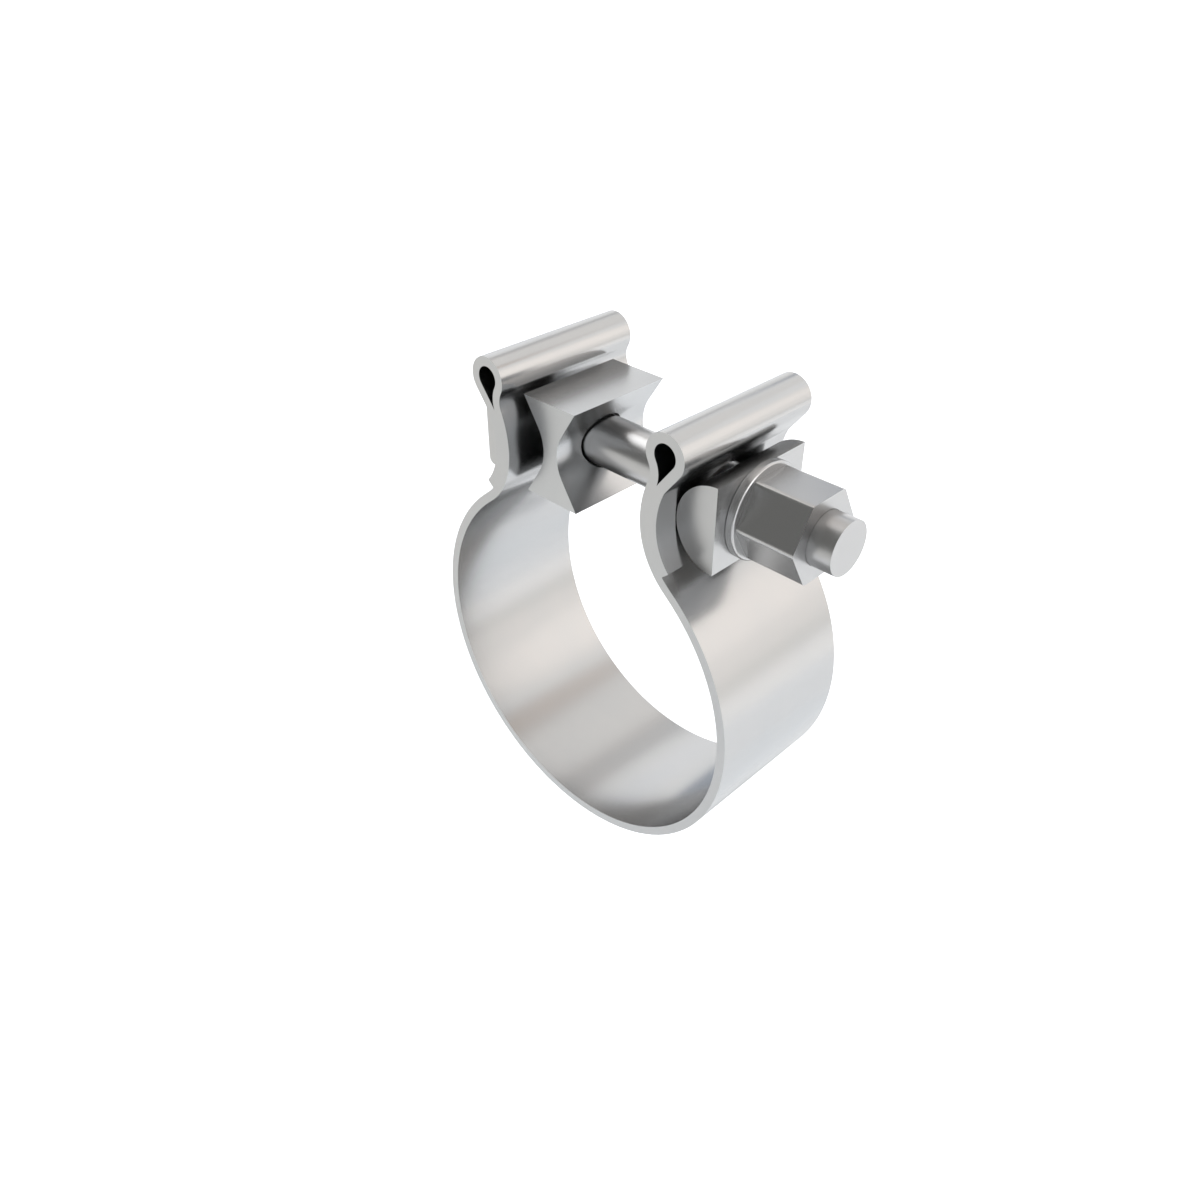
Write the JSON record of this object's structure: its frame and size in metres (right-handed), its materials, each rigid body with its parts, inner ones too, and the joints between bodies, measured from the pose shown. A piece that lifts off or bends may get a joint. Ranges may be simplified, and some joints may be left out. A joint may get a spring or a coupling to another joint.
{
  "type": "exhaust band clamp",
  "caption": "Open stainless band clamp for an exhaust pipe, drawn closed by a T-bolt and flange nut across its looped ears, with a reaction block between them.",
  "frame": {"origin": "centre of the open ring, halfway across the band's width", "axes": "+X along the T-bolt from its head to the nut, +Y along the pipe, +Z from the ring's centre towards the bolt"},
  "size_m": [0.0813, 0.0318, 0.0926],
  "materials": {
    "band_sheet": "smooth bright stainless sheet",
    "bolt_steel": "smooth bright turned stainless",
    "block_steel": "smooth satin extruded stainless bar",
    "spacer_steel": "smooth satin half-round stainless bar",
    "nut_steel": "smooth satin stainless"
  },
  "bodies": {
    "clamp": {"band": "band_sheet", "t_bolt": "bolt_steel"},
    "block": {"reaction_block": "block_steel"},
    "spacer": {"half_round_spacer": "spacer_steel"},
    "nut": {"flange_nut": "nut_steel"}
  },
  "joints": [
    {"name": "block_slide", "type": "slide", "parent": "clamp", "child": "block", "axis": [1, 0, 0], "range_m": [-0.0007, 0.0215]},
    {"name": "spacer_slide", "type": "slide", "parent": "clamp", "child": "spacer", "axis": [1, 0, 0], "range_m": [0, 0.01397]},
    {"name": "nut_spin", "type": "hinge", "parent": "spacer", "child": "nut", "pos_m": [0.02738, 0, 0.0394], "axis": [1, 0, 0], "range_deg": [0, 3169]}
  ],
  "couplings": [
    {"joint": "nut_spin", "follows": "spacer_slide", "rad_per_m": 3957.9}
  ]
}
